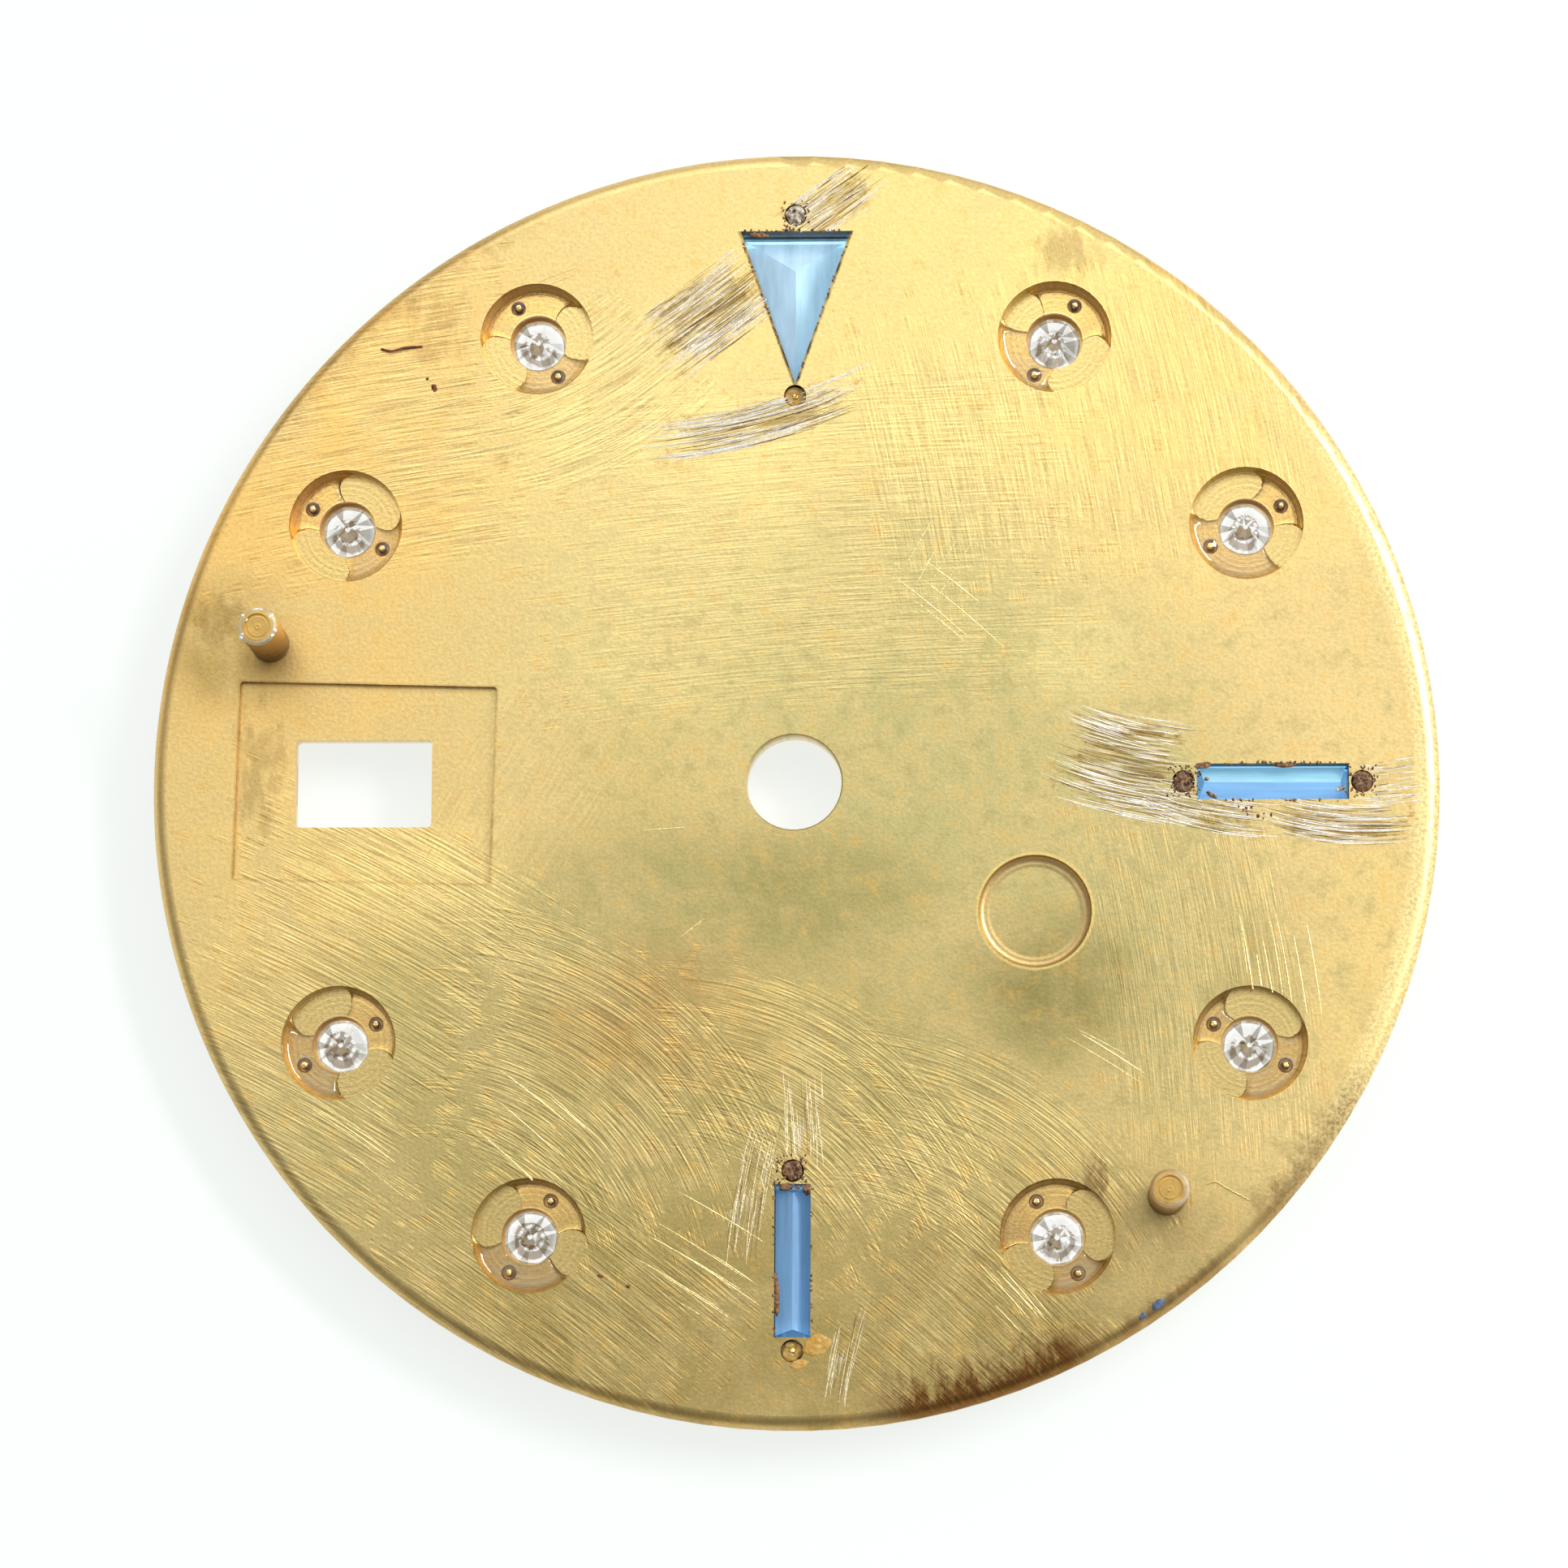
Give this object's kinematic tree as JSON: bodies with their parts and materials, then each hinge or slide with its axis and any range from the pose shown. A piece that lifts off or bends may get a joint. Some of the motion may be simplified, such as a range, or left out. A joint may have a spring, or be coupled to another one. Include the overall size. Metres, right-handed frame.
{
  "type": "watch dial",
  "caption": "Round brass wristwatch dial shown from its back, with gem-set hour marks, pin wells, date window, centre hand hole and soldered feet.",
  "frame": {"origin": "centre of the hand hole on the dial's back (movement-side) face", "axes": "+Z out of the back face, +Y to 12 o'clock, so 3 o'clock and the date window are at -X and 9 o'clock is at +X; the front face looks to -Z"},
  "size_m": [0.0264, 0.0262, 0.0034],
  "materials": {
    "plate": "brushed, worn gilt brass with olive tarnish",
    "feet": "turned brass",
    "settings": "polished gilt",
    "clear_stones": "polished clear faceted stone",
    "blue_stones": "polished pale blue faceted stone",
    "cement": "clear amber cement"
  },
  "bodies": {
    "root": {"dial_plate": "plate", "dial_foot_a": "feet", "dial_foot_b": "feet", "setting_01": "settings", "stone_01": "clear_stones", "cement_01": "cement", "setting_02": "settings", "stone_02": "clear_stones", "cement_02": "cement", "setting_04": "settings", "stone_04": "clear_stones", "cement_04": "cement", "setting_05": "settings", "stone_05": "clear_stones", "cement_05": "cement", "setting_07": "settings", "stone_07": "clear_stones", "cement_07": "cement", "setting_08": "settings", "stone_08": "clear_stones", "cement_08": "cement", "setting_10": "settings", "stone_10": "clear_stones", "cement_10": "cement", "setting_11": "settings", "stone_11": "clear_stones", "cement_11": "cement", "setting_12": "settings", "stone_12": "blue_stones", "cement_12_inner": "cement", "cement_12_outer": "cement", "setting_06": "settings", "stone_06": "blue_stones", "cement_06_inner": "cement", "cement_06_outer": "cement", "setting_09": "settings", "stone_09": "blue_stones", "cement_09_inner": "cement", "cement_09_outer": "cement"}
  },
  "joints": []
}
